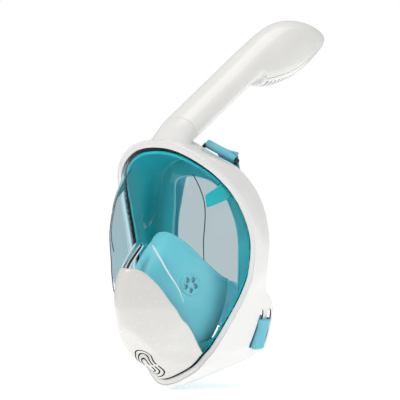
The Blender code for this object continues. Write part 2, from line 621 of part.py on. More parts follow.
def strap_up():
    """From the back pad out round the temple behind the skirt, over the bar, and a short tail under it."""
    arc = [BAR_MIDDLE + 3.5 * (np.sin(a) * RISE - np.cos(a) * BACK) for a in np.linspace(np.pi / 2, -np.pi / 2, 9)]
    run = [(20.6, 46, -33), (42, 40, -32), (55, 33, -20), (60, 28, 8), (59, 26, 36), (50, 22, 64), (39, 17, 88),
           arc[0] + 5 * BACK, arc[0]]
    tail = [BAR_MIDDLE - 3.5 * RISE + 6 * BACK]
    near = catmull(np.array(run, float), 28, closed=False)
    path = np.concatenate([near, arc[1:], tail])
    turn = np.clip((np.arange(len(path)) - 14) / 7, 0, 1)[:, None]
    across = np.array([(0.1, 0, 1), (-0.3, 0, 1), (-0.9, 0.3, 0.3), (-0.95, 0.3, 0), (-0.95, 0.3, 0)], float)
    side = catmull(across, 28, closed=False)
    side = np.concatenate([side, np.tile(side[-1], (len(path) - 28, 1))])
    width = np.interp(np.arange(len(path)), [0, 4, 17, 24], [22, 20, 20, STRAP_WIDE])[:, None]
    return ribbon(path, -side * (1 - turn) + BAR_RUN * turn, width, STRAP_THICK)


def strap_low():
    """From the back pad to the jaw lobe, out through the front slot, over the bar and in by the rear slot."""
    t = 7.73
    through = np.cross(wall_point(t, 1) - wall_point(t, 0), wall_point(t + 0.3, 0.8) - wall_point(t - 0.3, 0.8))
    through /= np.linalg.norm(through) * np.sign(through[0])
    wide = wall_point(t + 0.3, 0.8) - wall_point(t - 0.3, 0.8)
    front_in, front_out = (wall_point(t, 0.68) + d * through for d in (-4.6, 1.6))
    rear_out, rear_in = (wall_point(t, 0.89) + d * through for d in (1.6, -4.6))
    over = wall_point(t, 0.785) + 3.1 * through
    tail = wall_point(t, 0.56) - 6.4 * through
    run = [rear_in, (52, 34, -72), (40, 42, -66), (20.6, 46, -61)]
    near = catmull(np.array([tail, front_in, front_out, over, rear_out, rear_in]), 26, closed=False)
    path = np.concatenate([near, catmull(np.array(run, float), 12, closed=False)[1:]])
    turn = np.concatenate([np.zeros(len(near)), np.linspace(0.1, 1, 11)])[:, None]
    wide = wide / np.linalg.norm(wide) * (1 - turn) + np.array([0.1, -0.1, -1.0]) * turn
    return ribbon(path, wide, STRAP_WIDE - 1, STRAP_THICK)


for name, sign in SIDES:
    make(f"upper_strap_bar_{name}", *mirror(bracket(), sign), WHITE)
    make(f"upper_strap_{name}", *mirror(strap_up(), sign), FABRIC)
    make(f"lower_strap_{name}", *mirror(strap_low(), sign), FABRIC)
pad_edge = oval((20, 24), 28, 3.2)
make("back_pad", *loft([on_axis(pad_edge * k, d, np.array([0, 46.5, -50]), (0, 1, 0), (1, 0, 0), (0, 0, 1))
                        for k, d in ((0.92, -2.2), (1.0, -1.2), (1.0, 1.2), (0.92, 2.2))]), FABRIC)
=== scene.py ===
"""Full face snorkel: the looks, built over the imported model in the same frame.

+X is the wearer's left, +Y points from the lens to the face, +Z is up. Shapes are worked out in
millimetres and scaled to metres as each mesh is made.
"""

import math

import bmesh
import bpy
import numpy as np
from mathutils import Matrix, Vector


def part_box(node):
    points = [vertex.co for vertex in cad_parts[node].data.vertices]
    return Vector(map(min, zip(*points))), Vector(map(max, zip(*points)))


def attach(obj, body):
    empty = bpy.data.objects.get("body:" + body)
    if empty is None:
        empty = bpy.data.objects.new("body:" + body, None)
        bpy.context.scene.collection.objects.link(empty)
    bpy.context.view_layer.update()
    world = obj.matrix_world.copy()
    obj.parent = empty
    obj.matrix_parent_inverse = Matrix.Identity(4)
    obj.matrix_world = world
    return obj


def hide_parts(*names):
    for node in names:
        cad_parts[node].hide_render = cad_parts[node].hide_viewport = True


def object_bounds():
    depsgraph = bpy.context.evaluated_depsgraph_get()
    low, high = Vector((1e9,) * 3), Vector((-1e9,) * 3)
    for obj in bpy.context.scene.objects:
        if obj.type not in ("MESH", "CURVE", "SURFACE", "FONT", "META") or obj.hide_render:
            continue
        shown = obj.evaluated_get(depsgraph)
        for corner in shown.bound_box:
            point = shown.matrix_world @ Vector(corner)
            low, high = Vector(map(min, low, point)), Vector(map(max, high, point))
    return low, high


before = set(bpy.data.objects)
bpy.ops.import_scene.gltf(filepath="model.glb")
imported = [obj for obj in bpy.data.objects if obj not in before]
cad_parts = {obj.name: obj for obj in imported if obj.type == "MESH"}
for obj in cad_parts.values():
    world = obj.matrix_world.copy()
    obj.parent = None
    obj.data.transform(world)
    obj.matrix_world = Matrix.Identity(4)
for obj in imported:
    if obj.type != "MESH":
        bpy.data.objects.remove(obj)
CAD_BOX = [list(corner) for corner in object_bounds()]
MM = 0.001

# Half outlines from the forehead to the chin, in the frame's millimetres, mirrored for the other half.
RIM = [(0, -60, 117.5), (32, -59, 112), (61, -45, 92), (75, -27, 64), (79.5, -13, 28), (75, -10, -6),
       (69, -11.5, -25), (61, -16, -44), (45, -28, -79), (37, -34.5, -92), (26, -43, -106), (0, -53, -118)]
REAR = [(0, -22, 126), (38, -14, 110), (64, -7, 96), (81, 4, 67), (90, 7, 30), (87.5, 7, -4),
        (80, 14, -25), (77, 29, -46), (71, 28, -80), (62, 25, -94), (30, -16, -117), (0, -42, -129)]
SEAL = [(0, 0, 105), (32, 2, 101), (53, 8, 85), (66, 16, 58), (71, 20, 28), (69, 20, -4),
        (65, 20, -25), (60, 18, -46), (48, 8, -78), (38, 0, -92), (24, -10, -103), (0, -20, -110)]
LIP = [(0, -5, 86), (22, -3, 82), (32, 3, 71), (38, 10, 52), (43, 14, 28), (44, 14, -4),
       (43, 14, -25), (41, 12, -44), (33, 2, -70), (26, -6, -80), (16, -16, -89), (0, -26, -94)]
WALL_SLOPE = [0.3, 0.5, 1.0, 2.6, 3.3, 3.4, 3.8, 4.2, 3.6, 3.0, 2.4, 1.4]
PANEL = ([-118, -60, -48, -20, 0, 25, 50, 80, 103, 118], [-83, -84, -85, -87, -86, -85, -80, -72, -63, -60])
KEEL = ([-118, -108, -93, -80, -60, -40, -20, -4, 25, 60],
        [-57, -84, -100, -108, -116, -120, -117.5, -113, -85, -60])
KEEL_FLARE = ([-118, -94, -80, -62, -41, -20, 0, 25, 60], [1.7, 1.6, 1.4, 1.25, 1.25, 1.25, 1.35, 1.4, 1.4])
CHIN, CHIN_SLOPE = (-73.0, -99.0), 1.069
KEEL_NOSE = 12.0
PANEL_BOW = 0.0046
COVER_EDGE = [(0, -1), (12, -2.6), (25.8, -16.5), (35, -32.8), (40.7, -44.5), (42.3, -54.5), (41.4, -65),
              (39.5, -77)]
COVER_GAP, COVER_WALL, COVER_BULGE = 0.5, 1.7, 0.8
LENS_WALL, POCKET_WALL = 2.0, 1.6
CREST_OUT, CREST_BACK = 8.7, 2.5
COUNT = 352

TUBE_FOOT = np.array([0.0, -61.0, 116.0])
TUBE_AXIS = np.array([0.0, 0.8746, 0.4848])
TUBE_DOWN = np.array([0.0, 0.4848, -0.8746])
TUBE_HALF = (20.0, 14.5)
SEAM, TUBE_END = 40.0, 154.0
VALVE_FOOT = np.array([0.0, -73.6, -98.4])
VALVE_AXIS = np.array([0.0, -0.683, -0.73])
VALVE_RUN = np.array([0.0, 0.73, -0.683])

SIDES = (("left", 1), ("right", -1))
VALVE_PORTS = 5
GRILLE_SLOTS, GRILLE_FIRST, GRILLE_PITCH = 8, 93.3, 6.13
CAMERA_AWAY = 12


# ---- shape helpers -------------------------------------------------------------------------------


def make(name, verts, faces, look, body="mask", smooth=True):
    """A smooth mesh piece from points in millimetres, riding on a body."""
    mesh = bpy.data.meshes.new(name)
    mesh.from_pydata((np.asarray(verts, float) * MM).tolist(), [], [tuple(map(int, f)) for f in faces])
    obj = bpy.data.objects.new(name, mesh)
    bpy.context.scene.collection.objects.link(obj)
    recalculate(mesh)
    if smooth:
        mesh.shade_smooth()
    mesh.materials.append(look)
    if body:
        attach(obj, body)
    return obj


def recalculate(mesh):
    """Turns every face outward."""
    work = bmesh.new()
    work.from_mesh(mesh)
    bmesh.ops.recalc_face_normals(work, faces=work.faces)
    work.to_mesh(mesh)
    work.free()


def catmull(points, count, closed=True):
    """Catmull-Rom curve through points, sampled at even steps."""
    points = np.asarray(points, float)
    size = len(points)
    spans = size if closed else size - 1
    at = np.arange(count) * spans / (count if closed else count - 1)
    low = np.minimum(at.astype(int), spans - 1)
    f = (at - low)[:, None]
    pick = (lambda k: points[k % size]) if closed else (lambda k: points[np.clip(k, 0, size - 1)])
    a, b, c, d = pick(low - 1), pick(low), pick(low + 1), pick(low + 2)
    return 0.5 * (2 * b + (c - a) * f + (2 * a - 5 * b + 4 * c - d) * f**2 + (3 * b - a - 3 * c + d) * f**3)


def mirrored(half):
    """A half outline and its mirror image as one loop."""
    return list(half) + [(-x, y, z) for x, y, z in half[-2:0:-1]]


def ring(half, count=COUNT):
    return catmull(mirrored(half), count)


def outward(path):
    """Unit normals of a loop, pointing away from its middle in the XZ plane."""
    along = np.roll(path, -1, 0) - np.roll(path, 1, 0)
    normal = np.stack([-along[:, 2], 0 * along[:, 0], along[:, 0]], 1)
    normal /= np.linalg.norm(normal, axis=1)[:, None]
    return normal * np.sign((normal * path).sum())


def back(depth):
    return np.array([0, depth, 0.0])


def hermite(at, table):
    """Monotone cubic interpolation of a table."""
    xs, ys = (np.array(values, float) for values in table)
    step = np.diff(xs)
    rise = np.diff(ys) / step
    slope = np.concatenate([rise[:1], np.zeros(len(xs) - 2), rise[-1:]])
    same = rise[1:] * rise[:-1] > 0
    slope[1:-1][same] = (2 * rise[1:] * rise[:-1] / np.where(same, rise[1:] + rise[:-1], 1))[same]
    at = np.clip(at, xs[0], xs[-1])
    k = np.clip(np.searchsorted(xs, at) - 1, 0, len(step) - 1)
    t = (at - xs[k]) / step[k]
    return ((2 * t**3 - 3 * t**2 + 1) * ys[k] + (t**3 - 2 * t**2 + t) * step[k] * slope[k]
            + (3 * t**2 - 2 * t**3) * ys[k + 1] + (t**3 - t**2) * step[k] * slope[k + 1])


RIM_LINE = ring(RIM, 704)
RIM_SLOPE = catmull([(s, 0, 0) for s in WALL_SLOPE + WALL_SLOPE[-2:0:-1]], 704)[:, 0]


def smooth_low(a, b, width):
    """The lower of two values, with a rounded change from one to the other."""
    return 0.5 * (a + b) - 0.5 * np.sqrt((a - b) ** 2 + width**2)


def plain_front(x, z, edge_y, slope, reach):
    """The brow panel, the nose keel with its chin facet, and the side wall, blended."""
    panel = hermite(z, PANEL) + PANEL_BOW * x**2
    keel = hermite(z, KEEL) + np.sqrt(KEEL_NOSE**2 + (hermite(z, KEEL_FLARE) * x) ** 2) - KEEL_NOSE
    keel = -smooth_low(-keel, (z - CHIN[1]) * CHIN_SLOPE - CHIN[0], 1.2)
    wall = edge_y - slope * reach
    return -smooth_low(-smooth_low(panel, keel, 1.6), -wall, 4.0)


def front(x, z):
    """Depth of the lens's outer face over the XZ plane, meeting the rim exactly."""
    x, z = np.asarray(x, float), np.asarray(z, float)
    shape = x.shape
    x, z = x.ravel(), z.ravel()
    depth = np.empty(len(x))
    at_rim = plain_front(RIM_LINE[:, 0], RIM_LINE[:, 2], RIM_LINE[:, 1], RIM_SLOPE, 0.0)
    for k in range(0, len(x), 4000):
        part = slice(k, k + 4000)
        gap = np.hypot(x[part, None] - RIM_LINE[None, :, 0], z[part, None] - RIM_LINE[None, :, 2])
        near, reach = gap.argmin(1), gap.min(1)
        miss = (RIM_LINE[:, 1] - at_rim)[near]
        depth[part] = (plain_front(x[part], z[part], RIM_LINE[near, 1], RIM_SLOPE[near], reach)
                       + miss * np.exp(-((reach / 9) ** 2)))
    return depth.reshape(shape)


def front_normal(x, z):
    step = 0.4
    dx = (front(x + step, z) - front(x - step, z)) / (2 * step)
    dz = (front(x, z + step) - front(x, z - step)) / (2 * step)
    normal = np.stack([dx, -np.ones_like(dx), dz], -1)
    return normal / np.linalg.norm(normal, axis=-1)[..., None]


def polar_shell(outline, middle, rows, outer, inner):
    """A shell over a star-shaped outline in the XZ plane, from two height offsets along its normal."""
    outline, middle = np.asarray(outline, float), np.asarray(middle, float)
    count = len(outline)
    grid = np.concatenate([[middle]] + [middle + r * (outline - middle) for r in rows])
    base = np.stack([grid[:, 0], front(grid[:, 0], grid[:, 1]), grid[:, 1]], 1)
    normal = front_normal(grid[:, 0], grid[:, 1])
    verts = np.concatenate([base + outer * normal, base + inner * normal])
    size = len(grid)
    faces = []
    for k in range(count):
        n = (k + 1) % count
        faces += [(0, 1 + n, 1 + k), (size, size + 1 + k, size + 1 + n)]
        for r in range(len(rows) - 1):
            a, b = 1 + r * count, 1 + (r + 1) * count
            faces.append((a + k, a + n, b + n, b + k))
            faces.append((size + a + k, size + b + k, size + b + n, size + a + n))
        a = 1 + (len(rows) - 1) * count
        faces.append((a + k, a + n, size + a + n, size + a + k))
    return verts, faces


def loft(sections, closed_path=False, caps=True):
    """A skin over a row of equal-count loops."""
    sections = np.asarray(sections, float)
    rows, count = sections.shape[:2]
    faces = []
    for r in range(rows if closed_path else rows - 1):
        a, b = r * count, ((r + 1) % rows) * count
        faces += [(a + k, a + (k + 1) % count, b + (k + 1) % count, b + k) for k in range(count)]
    if caps and not closed_path:
        faces += [tuple(range(count))[::-1], tuple((rows - 1) * count + k for k in range(count))]
    return sections.reshape(-1, 3), faces


def oval(half, count=96, power=2.3):
    """A superellipse with two half sizes."""
    angle = np.arange(count) * 2 * np.pi / count
    c, s = np.cos(angle), np.sin(angle)
    return np.stack([half[0] * np.sign(c) * abs(c) ** (2 / power),
                     half[1] * np.sign(s) * abs(s) ** (2 / power)], 1)


def on_axis(shape, along, foot=TUBE_FOOT, axis=TUBE_AXIS, side=(1, 0, 0), down=TUBE_DOWN):
    """A flat shape placed square across an axis."""
    shape = np.asarray(shape, float)
    return foot + along * np.asarray(axis) + shape[:, :1] * np.asarray(side) + shape[:, 1:] * np.asarray(down)


def rounded(profile, radius, steps=4):
    """A closed (a, b) profile with each corner turned into a small arc."""
    profile = np.asarray(profile, float)
    out = []
    for before, corner, after in zip(np.roll(profile, 1, 0), profile, np.roll(profile, -1, 0)):
        start, end = before - corner, after - corner
        reach = min(radius, 0.45 * np.linalg.norm(start), 0.45 * np.linalg.norm(end))
        a = corner + reach * start / np.linalg.norm(start)
        b = corner + reach * end / np.linalg.norm(end)
        for t in np.linspace(0, 1, steps):
            out.append((1 - t) ** 2 * a + 2 * t * (1 - t) * corner + t**2 * b)
    return np.array(out)


def rim_loft(profile, radius=0.0, line=RIM):
    """A ring of one (outward, back) profile swept round the rim."""
    profile = rounded(profile, radius) if radius else np.asarray(profile, float)
    path = ring(line)
    out = outward(path)
    return loft(np.stack([path + a * out + back(b) for a, b in profile], 1), True)


# ---- materials -----------------------------------------------------------------------------------


class Look:
    """A node material round one Principled shader, with short calls for procedural detail."""

    def __init__(self, name, colour, roughness, **values):
        self.mat = bpy.data.materials.new(name)
        self.mat.use_nodes = True
        self.tree = self.mat.node_tree
        self.shader = self.tree.nodes["Principled BSDF"]
        self.place = self.tree.nodes.new("ShaderNodeTexCoord")
        self.set("Base Color", (*colour, 1))
        self.set("Roughness", roughness)
        for key, value in values.items():
            self.set(key.replace("_", " ").title(), value)
        self.height = None

    def set(self, key, value):
        key = {"Ior": "IOR", "Coat Ior": "Coat IOR"}.get(key, key)
        self.shader.inputs[key].default_value = value

    def node(self, kind, **inputs):
        made = self.tree.nodes.new("ShaderNode" + kind)
        for key, value in inputs.items():
            made.inputs[key.replace("_", " ")].default_value = value
        return made

    def link(self, out, into):
        self.tree.links.new(out, into)

    def noise(self, scale, detail=3.0, rough=0.5):
        made = self.node("TexNoise", Scale=scale, Detail=detail, Roughness=rough)
        self.link(self.place.outputs["Object"], made.inputs["Vector"])
        return made.outputs["Fac"]

    def between(self, source, low, high):
        made = self.tree.nodes.new("ShaderNodeMapRange")
        made.inputs["From Min"].default_value, made.inputs["From Max"].default_value = 0.3, 0.7
        made.inputs["To Min"].default_value, made.inputs["To Max"].default_value = low, high
        self.link(source, made.inputs["Value"])
        return made.outputs["Result"]

    def vary_colour(self, source, one, two):
        ramp = self.tree.nodes.new("ShaderNodeValToRGB")
        ramp.color_ramp.elements[0].position, ramp.color_ramp.elements[1].position = 0.3, 0.7
        ramp.color_ramp.elements[0].color = (*one, 1)
        ramp.color_ramp.elements[1].color = (*two, 1)
        self.link(source, ramp.inputs["Fac"])
        self.link(ramp.outputs["Color"], self.shader.inputs["Base Color"])
        return self

    def vary_roughness(self, source, low, high):
        self.link(self.between(source, low, high), self.shader.inputs["Roughness"])
        return self

    def bump(self, source, depth_mm, strength=1.0):
        made = self.node("Bump", Strength=strength, Distance=depth_mm * MM)
        self.link(source, made.inputs["Height"])
        if self.height:
            self.link(self.height, made.inputs["Normal"])
        self.height = made.outputs["Normal"]
        self.link(self.height, self.shader.inputs["Normal"])
        return self

    def lets_lamps_through(self, tint=(1, 1, 1)):
        """Rays from lamps pass straight through, so what is behind the glass is lit."""
        out = self.tree.nodes["Material Output"]
        path = self.tree.nodes.new("ShaderNodeLightPath")
        clear = self.tree.nodes.new("ShaderNodeBsdfTransparent")
        clear.inputs["Color"].default_value = (*tint, 1)
        mix = self.tree.nodes.new("ShaderNodeMixShader")
        self.link(path.outputs["Is Shadow Ray"], mix.inputs["Fac"])
        self.link(self.shader.outputs["BSDF"], mix.inputs[1])
        self.link(clear.outputs["BSDF"], mix.inputs[2])
        self.link(mix.outputs["Shader"], out.inputs["Surface"])
        return self


def white_plastic(name, one, two, roughness=(0.16, 0.26)):
    look = Look(name, one, 0.2, coat_weight=0.35, coat_roughness=0.08)
    look.vary_colour(look.noise(26), one, two)
    look.vary_roughness(look.noise(190), *roughness)
    return look.bump(look.noise(900, 1.0), 0.002).mat


def silicone(name, one, two, roughness=(0.28, 0.42)):
    look = Look(name, one, 0.35, ior=1.41, coat_weight=0.15, coat_roughness=0.25)
    look.vary_colour(look.noise(38), one, two)
    look.vary_roughness(look.noise(260), *roughness)
    return look.bump(look.noise(1400, 2.0), 0.01).mat


WHITE = white_plastic("frame_white", (0.77, 0.755, 0.74), (0.80, 0.785, 0.77))
COVER_WHITE = white_plastic("cover_white", (0.66, 0.645, 0.62), (0.672, 0.657, 0.632), (0.25, 0.28))
TUBE_WHITE = white_plastic("tube_white", (0.80, 0.78, 0.755), (0.83, 0.81, 0.785))
TEAL = silicone("skirt_teal", (0.01, 0.42, 0.455), (0.016, 0.49, 0.53))
FLAP = silicone("flap_silicone", (0.42, 0.62, 0.68), (0.48, 0.68, 0.74))
# A lighter copy of the skirt silicone for its thin parts: painted glow of light through thin silicone.
THIN_TEAL = silicone("flange_teal_painted_glow", (0.05, 0.42, 0.45), (0.07, 0.48, 0.51))
PALE = silicone("pocket_teal", (0.17, 0.52, 0.57), (0.21, 0.58, 0.63))
# Black for the real gaskets, and also painted shade in the strap slots, the nose vents, the sheet behind the
# vents and on the strap bars, and a painted dark reflection down the nose ridge.
BLACK_AND_PAINTED_SHADE = silicone("gasket_black_and_painted_shade", (0.006, 0.006, 0.007), (0.012, 0.012, 0.013), (0.4, 0.6))
clear = Look("lens_clear", (0.81, 0.945, 0.99), 0.012, ior=1.13, transmission_weight=1.0)
CLEAR = clear.bump(clear.noise(60, 1.0), 0.004).lets_lamps_through((0.96, 0.98, 0.98)).mat
# A dark rib just inside the lens along each upper fold: a painted shade line.
FOLD_SHADE = silicone("painted_fold_shade", (0.002, 0.05, 0.06), (0.004, 0.07, 0.08))
# Pale ribs along the lens crease and on both sides of the nose ridge: painted highlights.
PAINTED_HIGHLIGHT = silicone("painted_highlight_rib", (0.62, 0.78, 0.80), (0.70, 0.84, 0.86))
steel = Look("steel", (0.55, 0.55, 0.56), 0.3, metallic=1.0)
STEEL = steel.vary_roughness(steel.noise(700), 0.22, 0.42).mat


def webbing(name, one, two):
    """Elastic webbing: fine ribs along the strap crossed by its weft."""
    look = Look(name, one, 0.85, sheen_weight=0.35, sheen_roughness=0.45)
    look.vary_colour(look.noise(55), one, two)
    look.vary_roughness(look.noise(420), 0.75, 0.95)
    for direction, scale, depth in (("X", 210, 0.10), ("Y", 520, 0.05)):
        wave = look.node("TexWave", Scale=scale, Distortion=0.4)
        wave.bands_direction = direction
        uv = look.tree.nodes.new("ShaderNodeUVMap")
        look.link(uv.outputs["UV"], wave.inputs["Vector"])
        look.bump(wave.outputs["Fac"], depth)
    return look.mat


STRAP = webbing("strap_webbing", (0.13, 0.46, 0.57), (0.17, 0.54, 0.66))


def evaluated(obj):
    """Applies an object's modifiers to its mesh."""
    bpy.context.view_layer.update()
    graph = bpy.context.evaluated_depsgraph_get()
    mesh = bpy.data.meshes.new_from_object(obj.evaluated_get(graph))
    obj.modifiers.clear()
    obj.data = mesh
    mesh.shade_smooth()


def cut(obj, *solids, inside=None):
    """Cuts closed solids from a piece, and can give the cut walls their own material."""
    for verts, faces in solids:
        tool = make("cutter", verts, faces, inside or obj.data.materials[0], body=None, smooth=False)
        step = obj.modifiers.new("cut", "BOOLEAN")
        step.object, step.operation, step.solver = tool, "DIFFERENCE", "MANIFOLD"
        step.material_mode = "TRANSFER"
        evaluated(obj)
        bpy.data.objects.remove(tool)


def sharpen(obj, degrees=35):
    """Smooth shading that keeps the creases sharper than an angle."""
    obj.data.shade_smooth()
    obj.data.set_sharp_from_angle(angle=math.radians(degrees))


def stands_for(obj, *nodes):
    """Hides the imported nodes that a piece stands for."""
    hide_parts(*nodes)


# ---- frame and its socket ------------------------------------------------------------------------


def frame_rings():
    """Loops of the frame's section: raised crest, outer wall, rear turn and lining."""
    rim, rear = ring(RIM, COUNT), ring(REAR, COUNT)
    out, out_rear = outward(rim), outward(rear)
    crest = rim + CREST_OUT * out + back(CREST_BACK)
    wall = lambda s: crest + s * (rear - crest) + 0.8 * math.sin(math.pi * min(1, s / 0.8)) * out
    skin = [rim + a * out + back(b) for a, b in (
        (1.2, 1.8), (1.25, 0.2), (1.45, -0.35), (1.9, -0.7), (2.5, -0.8), (3.6, -0.55), (5.2, 0.0),
        (6.6, 0.5), (6.9, 0.35), (7.2, 0.0), (7.6, -0.15), (8.05, 0.0), (8.35, 0.45), (8.45, 1.2),
        (8.5, 1.9))]
    skin += [wall(s) for s in (0.0, 0.04, 0.12, 0.22, 0.34, 0.46, 0.58, 0.7, 0.82, 0.92, 0.97)]
    turn = [rear - 0.1 * out_rear + back(-0.5), rear - 0.5 * out_rear + back(-0.05),
            rear - 1.3 * out_rear, rear - 2.1 * out_rear + back(-0.05), rear - 2.6 * out_rear + back(-0.6)]
    lining = [crest + s * (rear - crest) - 1.8 * out for s in (0.85, 0.6, 0.35, 0.12)]
    lining += [rim + 6.3 * out + back(5.7), rim + 1.2 * out + back(5.7)]
    return np.stack(skin + turn + lining, 1)


def wall_point(t, s):
    """A point on the outer wall: t counts control points from the forehead, s runs back."""
    k = int(round(t * 40)) % 880
    lines, rears = catmull(mirrored(RIM), 880), catmull(mirrored(REAR), 880)
    out = outward(lines)[k]
    crest = lines[k] + CREST_OUT * out + back(CREST_BACK)
    return crest + s * (rears[k] - crest)


def slot_prism(low, high, front_s, rear_s, sign):
    """A round-ended slot through the jaw lobe."""
    rows = []
    for t in np.linspace(low, high, 25):
        swell = (1 - abs(2 * (t - low) / (high - low) - 1) ** 7) ** 0.5
        middle, half = (front_s + rear_s) / 2, max(0.08, swell) * (rear_s - front_s) / 2
        a, b = wall_point(t, middle - half), wall_point(t, middle + half)
        through = np.cross(b - a, wall_point(t + 0.1, front_s) - wall_point(t - 0.1, front_s))
        through *= 9 / np.linalg.norm(through)
        rows.append([p * (sign, 1, 1) for p in (a - through, b - through, b + through, a + through)])
    return loft(rows)


frame_shell = make("frame_shell", *loft(frame_rings(), True), WHITE)
SLOTS = ((0.625, 0.725), (0.845, 0.945))
# The slot walls are painted black: painted shade inside the deep slots.
cut(frame_shell, *(slot_prism(7.06, 8.4, a, b, sign) for _, sign in SIDES for a, b in SLOTS), inside=BLACK_AND_PAINTED_SHADE)
sharpen(frame_shell, 40)
stands_for(frame_shell, "main_frame")


def socket_fillet():
    """The socket leaves the tube's oval along its axis and rolls out into the top wall of the frame."""
    shape = oval(TUBE_HALF, 144)
    turn = shape / TUBE_HALF
    start = on_axis(shape, 37.5)
    ahead = np.clip(-turn[:, 1], 0, 1)
    end = np.stack([32.0 * turn[:, 0], -41.5 + 15.8 * turn[:, 1] - 2.6 * ahead**2, np.zeros(144)], 1)
    end[:, 2] = 124.4 - (0.0062 + 0.0025 * (turn[:, 1] + 1)) * end[:, 0] ** 2 - 2.2 * ahead**3
    leave = -TUBE_AXIS * 34
    land = np.stack([30.0 * turn[:, 0], 9.0 * turn[:, 1], -13.0 + 6 * abs(turn[:, 0]) - 8 * ahead**2], 1)
    rows = [on_axis(oval((16.9, 11.4), 144), 22), on_axis(oval((16.9, 11.4), 144), 40),
            on_axis(oval((19.8, 14.3), 144), 40), on_axis(oval((19.95, 14.45), 144), 39.9),
            on_axis(shape, 39.3)]
    for t in np.linspace(0, 1, 40):
        rows.append((2 * t**3 - 3 * t**2 + 1) * start + (t**3 - 2 * t**2 + t) * leave
                    + (3 * t**2 - 2 * t**3) * end + (t**3 - t**2) * land)
    rows.append(rows[-1] - (0, 0, 1.5))
    return rows


socket = make("snorkel_socket", *loft(socket_fillet(), caps=False), WHITE)
sharpen(socket, 50)


def tube_along(name, path, radius, look, body="mask", around=12, closed=False):
    """A round bead along a path of points."""
    path = np.asarray(path, float)
    along = np.roll(path, -1, 0) - np.roll(path, 1, 0) if closed else np.gradient(path, axis=0)
    along /= np.linalg.norm(along, axis=1)[:, None]
    side = np.cross(along, (0.31, 0.2, 0.93))
    side /= np.linalg.norm(side, axis=1)[:, None]
    up = np.cross(side, along)
    a = (np.arange(around) * 2 * np.pi / around)[:, None, None]
    radius = np.broadcast_to(radius, len(path))[:, None]
    rows = (path + radius * (np.cos(a) * side + np.sin(a) * up)).transpose(1, 0, 2)
    return make(name, *loft(rows, closed), look, body)


# ---- lens, its gasket and the front cover --------------------------------------------------------


def shell_rows(outline, middle, rows, outer, inner):
    """polar_shell with its own pair of offsets for every row."""
    verts, faces = polar_shell(outline, middle, rows, 1.0, 0.0)
    size = len(verts) // 2
    count = len(outline)
    base, normal = verts[size:], verts[:size] - verts[size:]
    high = np.concatenate([[outer[0]], np.repeat(outer, count)])[:, None]
    low = np.concatenate([[inner[0]], np.repeat(inner, count)])[:, None]
    return np.concatenate([base + high * normal, base + low * normal]), faces


flat = lambda path: path[:, [0, 2]]
rim_line = ring(RIM, 416)
rows = np.concatenate([np.linspace(0.02, 0.97, 62), [0.98, 0.988, 0.994, 0.998, 1.0]])
sink = np.array([0.0] * 63 + [0.05, 0.15, 0.35, 0.7])
lens_edge = flat(rim_line + 0.1 * outward(rim_line))
lens_shell = make("lens_shell", *shell_rows(lens_edge, (0, 0), rows, -sink, -LENS_WALL + 0 * sink), CLEAR)
stands_for(lens_shell, "lens")
gasket = [(0.2, 1.5), (1.3, 1.3), (1.3, 5.4), (-2.4, 5.4), (-2.4, 4.4), (-1.0, 4.0)]
make("lens_gasket", *rim_loft(gasket, 0.3), BLACK_AND_PAINTED_SHADE)


def rib_on_lens(points, lift):
    """A smooth path along the lens through (x, z) points."""
    line = catmull([(x, 0, z) for x, z in points], 120, False)[:, [0, 2]]
    depth = front(line[:, 0], line[:, 1])
    path = np.stack([line[:, 0], depth, line[:, 1]], 1) + lift * front_normal(line[:, 0], line[:, 1])
    for _ in range(60):
        path[1:-1] = 0.25 * path[:-2] + 0.5 * path[1:-1] + 0.25 * path[2:]
    return path


CREASE = [(11.2, 22), (17.5, 13.5), (25, 3.8), (32, -6.5), (38.7, -16.5), (43, -25), (46, -35)]
NOSE = [(0, 21), (0, 15), (0, 8), (0, 2), (0, -4)]
FOLD = [(41.8, 93.8), (48.8, 85), (57.8, 70), (61.2, 56), (62.6, 42), (63.2, 28.5), (62.8, 17), (61.8, 7.5)]
# Ribs drawn on the lens: painted highlights along the crease and beside the nose ridge, and a painted shade
# line just inside each upper fold.
for name, sign in SIDES:
    taper = np.interp(np.arange(120), [0, 12, 45, 119], [0.5, 1.35, 1.1, 0.3])
    tube_along(f"lens_crease_highlight_{name}", rib_on_lens(CREASE, -0.2) * (sign, 1, 1), taper, PAINTED_HIGHLIGHT)
    tube_along(f"lens_fold_shade_{name}", rib_on_lens(FOLD, -LENS_WALL - 0.3) * (sign, 1, 1), 0.55, FOLD_SHADE)
    tube_along(f"nose_ridge_{name}", rib_on_lens(NOSE, 0) + (2.2 * sign, 0.6, 0), 0.7, PAINTED_HIGHLIGHT)
# A black line down the middle of the nose ridge: a painted dark reflection.
swell = np.interp(np.arange(120), [0, 30, 90, 119], [0.3, 1.4, 1.4, 0.5])
tube_along("nose_ridge_dark_reflection", rib_on_lens(NOSE, 0.1), swell, BLACK_AND_PAINTED_SHADE)


def cover_outline():
    """The cover's edge on the lens, closed along the chin inside the rim."""
    rim = ring(RIM, 1024)
    inner = flat(rim - 0.9 * outward(rim))
    low = inner[(inner[:, 1] < -90) & (inner[:, 0] > 0.2)]
    low = low[np.argsort(-low[:, 1])]
    edge = catmull([(x, 0, z) for x, z in COVER_EDGE + [tuple(low[0])]], 120, closed=False)[:, [0, 2]]
    low = low[np.linspace(0, len(low) - 1, 90).astype(int)]
    half = np.concatenate([edge[:-1], low])
    bottom = [[0.0, inner[inner[:, 1].argmin()][1]]]
    return np.concatenate([half, bottom, (half * (-1, 1))[:0:-1]])


